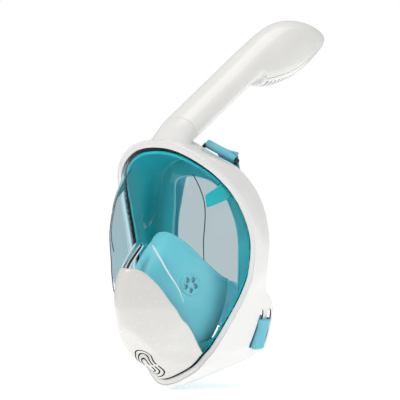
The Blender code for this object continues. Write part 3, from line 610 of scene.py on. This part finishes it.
def vent_slot(half_width, half_length, end, wide=1.5):
    """Half of a concentric ring of vents."""
    angle = np.linspace(0, np.pi, 25)
    line = [(half_width, 1.5)]
    line += [(half_width * np.cos(a), half_length - half_width + half_width * np.sin(a)) for a in angle]
    line = np.array(line + [(-half_width, 1.5)]) * (1, end)
    along = np.gradient(line, axis=0)
    along /= np.linalg.norm(along, axis=1)[:, None]
    side = np.stack([-along[:, 1], along[:, 0]], 1) * wide / 2
    edge = np.concatenate([line + side, (line - side)[::-1]])
    return loft([VALVE_FOOT + d * VALVE_AXIS + edge[:, :1] * np.array([1.0, 0, 0]) + edge[:, 1:] * VALVE_RUN
                 for d in (-16, 22)])


cover_rows = np.concatenate([np.linspace(0.03, 0.95, 44), [0.965, 0.978, 0.988, 0.995, 1.0]])
drop = np.array([0.0] * 44 + [0.04, 0.14, 0.35, 0.7, 1.3])
top = COVER_GAP + COVER_WALL + COVER_BULGE
shell = shell_rows(cover_outline(), (0, -66), cover_rows, top - drop, COVER_GAP + 0 * drop)
cover = make("nose_cover", *shell, COVER_WHITE)
soften = cover.modifiers.new("soften", "SMOOTH")
soften.factor, soften.iterations = 0.5, 8
evaluated(cover)
VENTS = ((3.4, 11), (7.2, 16), (11.0, 21))
# The vent walls are painted black: painted shade inside the vents.
cut(cover, *(vent_slot(w, h, end) for w, h in VENTS for end in (1, -1)), inside=BLACK_AND_PAINTED_SHADE)
sharpen(cover, 40)
stands_for(cover, "front_cover")


X, Y, Z = np.eye(3)
# A thin black sheet on the lens behind the vents: painted shade seen through the vents.
VENT_SHADE_AT = (0, -98.0)
vent_shade_outline = oval((13.6, 14.4), 96, 2.6) + VENT_SHADE_AT
make("vent_painted_shade", *polar_shell(vent_shade_outline, VENT_SHADE_AT, np.linspace(0.1, 1, 12), 0.42, 0.12), BLACK_AND_PAINTED_SHADE)


# ---- skirt and breathing pocket ------------------------------------------------------------------


def skirt_rings():
    """Loops of the skirt's section: clamped bead, inner wall, sealing face and outer wall."""
    rim, seal, lip = ring(RIM, COUNT), ring(SEAL, COUNT), ring(LIP, COUNT)
    out, out_seal = outward(rim), outward(seal)
    bead = [rim + a * out + back(b) for a, b in (
        (-3.4, 6.2), (0.3, 6.2), (0.3, 5.7), (-2.7, 5.6), (-2.7, 3.2), (-5.4, 3.0))]
    inner_top = rim - 5.6 * out + back(4.6)
    mid = 0.5 * (bead[0] + seal)
    wall_in = [inner_top + s * (mid - 2.4 * out_seal - inner_top) for s in (0.33, 0.66)]
    bend = [mid - 2.4 * out_seal,
            0.5 * (mid - 2.4 * out_seal + seal - 2.6 * out_seal - back(2.4)) + back(0.5),
            seal - 2.6 * out_seal - back(2.4)]
    face = [seal - 3.6 * out_seal - back(1.8), 0.7 * seal + 0.3 * lip - back(1.5),
            0.35 * seal + 0.65 * lip - back(1.7), lip - back(1.5), lip - back(0.5), lip,
            0.35 * seal + 0.65 * lip - back(0.2), 0.7 * seal + 0.3 * lip + back(0.2),
            seal - 3.4 * out_seal + back(1.2), seal - 1.2 * out_seal + back(0.9),
            seal - 0.2 * out_seal + back(-0.6)]
    outer_wall = [0.66 * seal + 0.34 * bead[0] + 0.5 * out_seal, mid + 0.3 * out_seal,
                  0.33 * seal + 0.67 * bead[0]]
    return np.stack(bead + [inner_top] + wall_in + bend + face + outer_wall, 1)[:, ::-1]


skirt = make("silicone_skirt", *loft(skirt_rings(), True), TEAL)
sharpen(skirt, 50)
# Faces of the inner flange take the lighter copy: painted glow through the thin silicone.
skirt.data.materials.append(THIN_TEAL)
lip_line, seal_line = ring(LIP, COUNT), ring(SEAL, COUNT)
for face in skirt.data.polygons:
    at = np.array(face.center) / MM
    near = np.hypot(*(seal_line - at)[:, [0, 2]].T).argmin()
    inside = np.hypot(at[0], at[2]) < np.hypot(*seal_line[near, [0, 2]]) - 2.4
    face.material_index = int(inside and at[1] > seal_line[near, 1] - 22)
# A pale bead round the lip of the skirt: painted highlight on its edge.
tube_along("skirt_lip_highlight_bead", lip_line - back(0.9), 1.15, PALE, closed=True)
stands_for(skirt, "face_skirt")


def sheet_solid(outer, inner):
    """A closed solid between two grids of points."""
    rows, columns = outer.shape[:2]
    size = rows * columns
    at = lambda r, c: r * columns + c
    faces = []
    for r in range(rows - 1):
        for c in range(columns - 1):
            quad = (at(r, c), at(r, c + 1), at(r + 1, c + 1), at(r + 1, c))
            faces += [quad, tuple(size + k for k in quad[::-1])]
    edge = [at(0, c) for c in range(columns)] + [at(r, columns - 1) for r in range(1, rows)]
    edge += [at(rows - 1, c) for c in range(columns - 2, -1, -1)] + [at(r, 0) for r in range(rows - 2, 0, -1)]
    for k, a in enumerate(edge):
        b = edge[(k + 1) % len(edge)]
        faces.append((b, a, size + a, size + b))
    return np.concatenate([outer.reshape(-1, 3), inner.reshape(-1, 3)]), faces


def grid_normals(points):
    """Unit normals of a grid, facing the front."""
    normal = np.cross(np.gradient(points, axis=1), np.gradient(points, axis=0))
    normal /= np.linalg.norm(normal, axis=2)[..., None]
    return normal * np.sign((normal[..., 1] < 0).mean() - 0.5)


POCKET_RISE = [(0.0, 31.0, 8.0), (0.12, 16.0, -12.0), (0.28, -4.0, -30.0), (0.48, -30.0, -45.0),
               (0.72, -58.0, -43.0), (0.88, -73.0, -29.0), (1.0, -82.0, -14.0)]


def pocket_surface(columns, rows):
    """Outer face of the cup from its top edge down to the chin."""
    turn, steps = np.linspace(-np.pi / 2, np.pi / 2, columns), np.linspace(0, 1, rows)
    table = np.array(POCKET_RISE).T
    points = np.empty((rows, columns, 3))
    for i, h in enumerate(steps):
        z_mid = np.interp(h, table[0], table[1])
        y_mid = hermite(np.array([h]), (table[0], table[2]))[0] - 60
        half, y_side = 45 - 2 * h - 13 * h**2, -6.0 - 12 * h**2
        points[i] = np.stack([half * np.sin(turn) * (1 + 0.06 * np.cos(turn)),
                              y_side + (y_mid - y_side) * np.cos(turn) ** 1.3,
                              -18 - 64 * h + (z_mid + 18 + 64 * h) * np.cos(turn) ** 2], 1)
    return points


cup = pocket_surface(121, 121)
cup_normal = grid_normals(cup)
# Evening out the rows makes the cup read as one moulded form.
for _ in range(6):
    cup[1:-1] = 0.25 * cup[:-2] + 0.5 * cup[1:-1] + 0.25 * cup[2:]
pocket = make("oronasal_pocket", *sheet_solid(cup, cup - POCKET_WALL * cup_normal), PALE)
stands_for(pocket, "breathing_pocket")


def apron():
    """The web that joins the lower edge of the cup to the skirt round the chin."""
    rim = ring(RIM, 1408)
    inner = rim - 4.6 * outward(rim) + back(5.4)
    half = inner[(inner[:, 0] > 0) & (inner[:, 2] < -62)]
    half = half[np.argsort(-half[:, 2])]
    low = np.concatenate([half, [[0, half[-1, 1], half[-1, 2]]], (half * (-1, 1, 1))[::-1]])
    length = np.concatenate([[0], np.cumsum(np.linalg.norm(np.diff(low, axis=0), axis=1))])
    at = np.linspace(length[-1], 0, 121)
    low = np.stack([np.interp(at, length, low[:, k]) for k in range(3)], 1)
    high = cup[-1] - 0.3 * cup_normal[-1] + (0, 0, 1.0)
    steps = np.linspace(0, 1, 24)[:, None, None]
    sag = np.sin(np.pi * steps) * np.array([0, 3.0, 0])
    points = high + steps * (low - high) + sag
    return sheet_solid(points, points + (0, 1.3, 0.5))


# The apron takes the same lighter copy, painted glow through thin silicone.
make("chin_apron", *apron(), THIN_TEAL)
tube_along("pocket_brow_bead", cup[0] - 0.8 * cup_normal[0], 1.7, PALE)


def turned(profile, foot, axis, side, down, count=64):
    """A round piece from a (radius, along) profile."""
    return loft([on_axis(oval((r, r), count, 2), a, foot, axis, side, down) for r, a in profile])


for name, sign in SIDES:
    low, high = (np.array(corner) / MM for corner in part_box(f"inhale_seat_{name}"))
    foot = (low + high) / 2
    near = np.linalg.norm(cup * (sign, 1, 1) - foot, axis=2)
    row, column = np.unravel_index(near.argmin(), near.shape)
    foot, axis = cup[row, column] * (sign, 1, 1), cup_normal[row, column] * (sign, 1, 1)
    side = np.cross(axis, Z) / np.linalg.norm(np.cross(axis, Z))
    down = np.cross(axis, side)
    cut(pocket, turned([(10.0, -9), (10.0, 9)], foot, axis, side, down))
    profile = [(0.05, 0.5), (9.6, 0.5), (10.0, 1.0), (10.8, 1.1), (11.4, 0.6), (11.5, -0.2), (11.0, -1.8),
               (9.6, -2.2), (0.05, -2.2)]
    seat = make(f"valve_seat_{name}", *turned(profile, foot, axis, side, down), PALE)
    ports = []
    for k in range(VALVE_PORTS):
        a = k * 2 * np.pi / VALVE_PORTS + 0.3
        petal = (oval((2.9, 2.75), 32, 2.6)) @ np.array([[np.cos(a), np.sin(a)], [-np.sin(a), np.cos(a)]])
        petal = petal + 5.9 * np.array([np.cos(a), np.sin(a)])
        ports.append(loft([on_axis(petal, d, foot, axis, side, down) for d in (-4, 3)]))
    cut(seat, *ports)
    sharpen(seat, 40)
    stands_for(seat, f"inhale_seat_{name}")
sharpen(pocket, 50)


def vane(sign):
    """A thin web of the skirt that crosses the temple, just behind the side of the lens."""
    near = np.linspace((56.3, 73.5), (60.0, 61.5), 14)
    far = np.linspace((64.5, 84.5), (71.5, 71.5), 14)
    points = np.empty((14, 40, 3))
    for j, u in enumerate(np.linspace(0, 1, 40)):
        line = near + u * (far - near)
        line[:, 1] -= 1.6 * math.sin(math.pi * u) * np.linspace(0.3, 1, 14)
        points[:, j] = np.stack([line[:, 0], front(line[:, 0], line[:, 1]) + 3.4, line[:, 1]], 1)
    normal = grid_normals(points)
    return sheet_solid(points * (sign, 1, 1), (points - 1.1 * normal) * (sign, 1, 1))


for name, sign in SIDES:
    make(f"temple_web_{name}", *vane(sign), TEAL)


# ---- snorkel -------------------------------------------------------------------------------------


def ring_on_tube(outer, hole, low, high):
    rows = [on_axis(oval(half), s) for half, s in ((outer, low), (outer, high), (hole, high), (hole, low))]
    return loft(rows, True)


bore = [((17.4, 11.9), 154.0), ((17.4, 11.9), 168.0), ((14.6, 9.1), 168.0), ((14.6, 9.1), 21.0),
        ((16.65, 11.15), 21.0), ((16.65, 11.15), 41.2), ((18.9, 13.4), 41.2), ((18.9, 13.4), 154.0)]
tube = make("snorkel_bore", *loft([on_axis(oval(half), s) for half, s in bore], True), TUBE_WHITE, "snorkel")
sharpen(tube, 40)
stands_for(tube, "snorkel_tube")
for name, s, hole, body, node in (("socket_seal", SEAM, (17.1, 11.6), "mask", "socket_gasket"),
                                  ("head_seal", TUBE_END, (17.8, 12.3), "snorkel", "head_gasket")):
    made = make(name, *ring_on_tube((18.7, 13.2), hole, s + 0.2, s + 1.0), BLACK_AND_PAINTED_SHADE, body)
    sharpen(made, 40)
    stands_for(made, node)

HEAD = [((67.6, 204.2), (82.0, 178.3), 20.3), ((76, 208.9), (84.6, 176.0), 20.8),
        ((86, 214.3), (88.5, 171.0), 21.8), ((98, 220.6), (100, 169.8), 23.0),
        ((110, 226.6), (115, 171.2), 24.2), ((125, 232.2), (135, 175.6), 24.8),
        ((141, 234.6), (155, 183.2), 24.2), ((157, 233.4), (172, 192.6), 21.8),
        ((173, 229), (185, 200.6), 17.4), ((187, 222.6), (194, 207.5), 10.6),
        ((195.5, 217), (198, 211.5), 4.0)]
PARTING = [(70.2, 119.3), (83.3, 177.7), (90.6, 179.7), (104.3, 181.5), (120.7, 184.1), (140.4, 189.7),
           (160.3, 198.2), (178.7, 208.1), (196.3, 217.3), (215.1, 219.6)]


def head_rings(sink=0.0):
    """Oval sections down the bulb, each between an upper and a lower edge point."""
    table = np.array([[*upper, *lower, wide] for upper, lower, wide in HEAD])
    dense = np.concatenate([catmull(table[:, :3], 84, False),
                            catmull(table[:, [3, 4, 4]], 84, False)[:, :2]], 1)
    rows = []
    for u_y, u_z, l_y, l_z, wide in dense[:-6] if sink else dense:
        upper, lower = np.array([0, u_y, u_z]), np.array([0, l_y, l_z])
        tall = np.linalg.norm(lower - upper) / 2
        rows.append(on_axis(oval((wide - sink, tall - sink), 96, 2.2), 0, (upper + lower) / 2,
                            down=(lower - upper) / (2 * tall)))
    if sink:
        return [on_axis(oval((18.95, 13.45)), s) for s in (38, 80, 120, 150)] + rows
    skin = [((19.5, 14.0), 40.25), ((19.9, 14.4), 40.35), ((20, 14.5), 40.6)]
    skin += [(TUBE_HALF, s) for s in np.linspace(42, 151, 40)]
    return [on_axis(oval(half), s) for half, s in skin] + rows


def side_prism(outline, half_width):
    return loft([[(x, y, z) for y, z in outline] for x in (-half_width, half_width)])


parting = [tuple(p) for p in catmull(np.array([(y, z, 0) for y, z in PARTING]), 60, False)[:, :2]]
hollow = loft(head_rings(2.0))
head = make("snorkel_shell", *loft(head_rings()), TUBE_WHITE, "snorkel")
cut(head, hollow, side_prism(parting + [(215, 110.0), (70, 110.0)], 40))
cap = make("head_grille", *loft(head_rings()[43:]), TUBE_WHITE, "snorkel")
upper = [(y, z - 0.5) for y, z in parting] + [(215, 290.0), (60, 290.0), (60, 119.0)]
cut(cap, hollow, side_prism(upper, 40))


def rounded_slot(y, half_x, half_y, low, high):
    edge = oval((half_x, half_y), 48, 8)
    return loft([np.stack([edge[:, 0], y + edge[:, 1], np.full(len(edge), z)], 1) for z in (low, high)])


cut(cap, *(rounded_slot(GRILLE_FIRST + GRILLE_PITCH * k, 16.8, 1.35, 150, 181) for k in range(GRILLE_SLOTS)))
for piece, node in ((head, "head_shell"), (cap, "head_cap")):
    sharpen(piece, 35)
    stands_for(piece, node)


# ---- harness -------------------------------------------------------------------------------------

BAR_MIDDLE = np.array([38.5, -6.3, 112.5])
BAR_RUN = np.array([0.886, 0.226, -0.405]) / np.linalg.norm([0.886, 0.226, -0.405])
BAR_HALF, BAR_RADIUS = 19.5, 1.9
STRAP_WIDE, STRAP_THICK = 36.0, 1.5
LOOP = (3.2, 3.0)
PAD_HALF = 2.2
BACK = Y - BAR_RUN[1] * BAR_RUN
BACK /= np.linalg.norm(BACK)
RISE = np.cross(BAR_RUN, BACK)
RISE *= np.sign(RISE[2])


def webbing_strip(name, path, wide, width, thick, sign, look=STRAP):
    """A strap with soft selvedges, laid out so that its weave runs along it."""
    along = np.gradient(path, axis=0)
    along /= np.linalg.norm(along, axis=1)[:, None]
    wide = wide - (wide * along).sum(1)[:, None] * along
    wide /= np.linalg.norm(wide, axis=1)[:, None]
    up = np.cross(along, wide)
    across = np.concatenate([np.linspace(-1, 1, 29), np.linspace(1, -1, 29)])
    high = np.concatenate([np.ones(29), -np.ones(29)])
    edge = np.clip((1 - abs(across)) / 0.05, 0, 1)
    section = np.stack([across / 2, high * thick / 2 * np.sqrt(np.clip(1 - (1 - edge) ** 2, 0.04, 1))], 1)
    width = np.broadcast_to(width, len(path))
    rows = (path[:, None] + width[:, None, None] * section[None, :, :1] * wide[:, None]
            + section[None, :, 1:] * up[:, None])
    verts, faces = loft(rows * (sign, 1, 1))
    obj = make(name, verts, faces, look)
    length = np.concatenate([[0], np.cumsum(np.linalg.norm(np.diff(path, axis=0), axis=1))])
    flat_at = np.stack([np.outer(width, section[:, 0]).ravel(), np.repeat(length, len(section))], 1) * MM
    layer = obj.data.uv_layers.new(name="weave")
    index = np.empty(len(obj.data.loops), np.int32)
    obj.data.loops.foreach_get("vertex_index", index)
    layer.data.foreach_set("uv", flat_at[index].ravel())
    sharpen(obj, 60)
    return obj


def strap_up():
    """From the back pad out round the temple behind the skirt, and over the bar."""
    turns = np.linspace(np.pi / 2, -np.pi / 2, 33)
    middle = BAR_MIDDLE - 1.6 * BAR_RUN
    arc = np.array([middle + LOOP[1] * np.sin(a) * RISE - LOOP[0] * np.cos(a) * BACK for a in turns])
    run = [(20.6, 46, -33), (42, 40, -32), (55, 33, -20), (60, 28, 8), (59, 26, 36), (50, 22, 64),
           (39, 15, 88), (35, 8, 105), arc[0] + 3.5 * BACK, arc[0]]
    path = np.concatenate([catmull(np.array(run, float), 150, False), arc[1:],
                           [arc[-1] + d * BACK for d in (2, 4, 6)]])
    turn = np.clip((np.arange(len(path)) - 98) / 34, 0, 1)[:, None]
    side = [(0.1, 0, 1), (-0.3, 0, 1), (-0.9, 0.3, 0.3), (-0.95, 0.3, 0), (-0.95, 0.3, 0)]
    side = catmull(side, 150, False)
    wide = np.concatenate([side, np.tile(side[-1], (len(path) - 150, 1))])
    width = np.interp(np.arange(len(path)), [0, 24, 94, 130], [22, 20, 20, STRAP_WIDE])
    return path, -wide * (1 - turn) + BAR_RUN * turn, width


def strap_low():
    """From under the frame out through the front slot, over the bar, in by the rear one, to the pad."""
    t = 7.76
    wide = wall_point(t + 0.3, 0.8) - wall_point(t - 0.3, 0.8)
    through = np.cross(wall_point(t, 1) - wall_point(t, 0), wide)
    through /= np.linalg.norm(through) * np.sign(through[0])
    at = lambda s, d: wall_point(t, s) + d * through
    near = catmull(np.array([at(0.56, -6.4), at(0.68, -4.6), at(0.68, 1.6), at(0.785, 3.1), at(0.89, 1.6),
                             at(0.89, -4.6)]), 90, False)
    far = catmull([at(0.89, -4.6), (52, 34, -72), (40, 42, -66), (20.6, 46, -61)], 50, False)[1:]
    turn = np.concatenate([np.zeros(len(near)), np.linspace(0.02, 1, len(far))])[:, None]
    wide = wide / np.linalg.norm(wide) * (1 - turn) + np.array([0.1, -0.1, -1.0]) * turn
    return np.concatenate([near, far]), wide


def bar_path(sign):
    """The upper bar with its two legs into the frame."""
    ends = [(-1, -5.0, -2.2), (-1, -2.2, -0.6)]
    left = [BAR_MIDDLE + k * BAR_HALF * BAR_RUN + b * BACK + r * RISE for k, b, r in ends]
    left.append(BAR_MIDDLE - (BAR_HALF - 0.4) * BAR_RUN - 0.5 * BACK)
    middle = [BAR_MIDDLE + k * BAR_RUN for k in np.linspace(-BAR_HALF + 2, BAR_HALF - 2, 12)]
    right = [p + 2 * ((BAR_MIDDLE - p) @ BAR_RUN) * BAR_RUN for p in left[::-1]]
    return catmull(np.array(left + middle + right) * (sign, 1, 1), 90, False)


for name, sign in SIDES:
    strap = webbing_strip(f"top_webbing_{name}", *strap_up(), STRAP_THICK, sign)
    stands_for(strap, f"upper_strap_{name}")
    strap = webbing_strip(f"side_webbing_{name}", *strap_low(), 31.5, STRAP_THICK, sign)
    stands_for(strap, f"lower_strap_{name}")
    # The bars are black to stand in for shade inside the strap loops: painted shade.
    bar = tube_along(f"strap_bar_{name}", bar_path(sign), BAR_RADIUS, BLACK_AND_PAINTED_SHADE, around=20)
    stands_for(bar, f"upper_strap_bar_{name}")


def pad_rows():
    rows = []
    for a in np.linspace(-np.pi / 2, np.pi / 2, 26):
        swell = 0.94 + 0.06 * math.cos(a)
        rows.append((swell, PAD_HALF * math.sin(a)))
    inner = (0.02, 0.3, 0.55, 0.75, 0.88)
    rows = [(k, -PAD_HALF) for k in inner] + rows + [(k, PAD_HALF) for k in inner[::-1]]
    edge = oval((20, 24), 120, 3.2)
    foot = np.array([0, 46.5, -50.0])
    return [on_axis(edge * k, d, foot, Y, X, Z) for k, d in rows]


pad = make("head_pad", *loft(pad_rows()), STRAP)
layer = pad.data.uv_layers.new(name="weave")
for loop in pad.data.loops:
    x, _, z = pad.data.vertices[loop.vertex_index].co
    layer.data[loop.index].uv = (x, z)
stands_for(pad, "back_pad")


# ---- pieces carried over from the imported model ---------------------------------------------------

for name, look in (("clamp_ring", WHITE), ("purge_seat", COVER_WHITE), ("purge_flap", TEAL),
                   ("inhale_flap_left", FLAP), ("inhale_flap_right", FLAP), ("tube_divider", TUBE_WHITE),
                   ("float_cage", TUBE_WHITE), ("float", TEAL), ("float_gasket", BLACK_AND_PAINTED_SHADE)):
    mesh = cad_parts[name].data
    mesh.materials.clear()
    mesh.materials.append(look)
for name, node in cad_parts.items():
    if name.startswith("ring_screw"):
        node.data.materials.clear()
        node.data.materials.append(STEEL)


# ---- floor, light and camera ---------------------------------------------------------------------

bottom = CAD_BOX[0][2] / MM - 2
floor_look = Look("floor", (0.95, 0.95, 0.95), 0.7, emission_strength=0.5)
floor_look.set("Emission Color", (1, 1, 1, 1))
around = oval((900, 900), 96, 2)
floor = make("floor", [(x, y, bottom) for x, y in around], [tuple(range(96))], floor_look.mat, body=None)

# The room lights the object softly, and the plain backdrop behind it stays white.
world = bpy.data.worlds.new("studio")
world.use_nodes = True
tree = world.node_tree
room = tree.nodes["Background"]
room.inputs["Color"].default_value = (0.96, 0.99, 1.0, 1)
room.inputs["Strength"].default_value = 0.57
backdrop = tree.nodes.new("ShaderNodeBackground")
backdrop.inputs["Color"].default_value = (1, 1, 1, 1)
path = tree.nodes.new("ShaderNodeLightPath")
mix = tree.nodes.new("ShaderNodeMixShader")
tree.links.new(path.outputs["Is Camera Ray"], mix.inputs["Fac"])
tree.links.new(room.outputs["Background"], mix.inputs[1])
tree.links.new(backdrop.outputs["Background"], mix.inputs[2])
tree.links.new(mix.outputs["Shader"], tree.nodes["World Output"].inputs["Surface"])
bpy.context.scene.world = world

AZIMUTH, ELEVATION = math.radians(40), math.radians(6)
right = Vector((math.cos(AZIMUTH), math.sin(AZIMUTH), 0))
level = Vector((math.sin(AZIMUTH), -math.cos(AZIMUTH), 0))
toward = math.cos(ELEVATION) * level + Vector((0, 0, math.sin(ELEVATION)))
above = toward.cross(right)
TARGET = Vector((0, -0.060, 0)) + 0.0412 * right + 0.0649 * above


def area_lamp(name, offset, size, power):
    """A soft lamp aimed at the object, placed by the camera's right, toward and above."""
    lamp = bpy.data.lights.new(name, "AREA")
    lamp.shape, lamp.size, lamp.size_y, lamp.energy = "RECTANGLE", *size, power
    lamp.color = (1.0, 0.985, 0.96)
    obj = bpy.data.objects.new(name, lamp)
    obj.location = TARGET + offset[0] * right + offset[1] * toward + offset[2] * above
    obj.rotation_euler = (TARGET - obj.location).to_track_quat("-Z", "Y").to_euler()
    bpy.context.scene.collection.objects.link(obj)


area_lamp("key", (-0.9, 0.8, 1.1), (0.8, 0.8), 10)
area_lamp("side", (1.2, 0.5, 0.2), (0.5, 1.0), 2.6)
area_lamp("top", (0.1, -0.2, 1.4), (1.0, 1.0), 4)

camera = bpy.data.cameras.new("camera")
camera.lens, camera.sensor_width = 1059.0, 36.0
camera.clip_end = 100
eye = bpy.data.objects.new("camera", camera)
eye.location = TARGET + CAMERA_AWAY * toward
eye.rotation_euler = (TARGET - eye.location).to_track_quat("-Z", "Y").to_euler()
bpy.context.scene.collection.objects.link(eye)
bpy.context.scene.camera = eye
bpy.context.scene.view_settings.view_transform = "Standard"
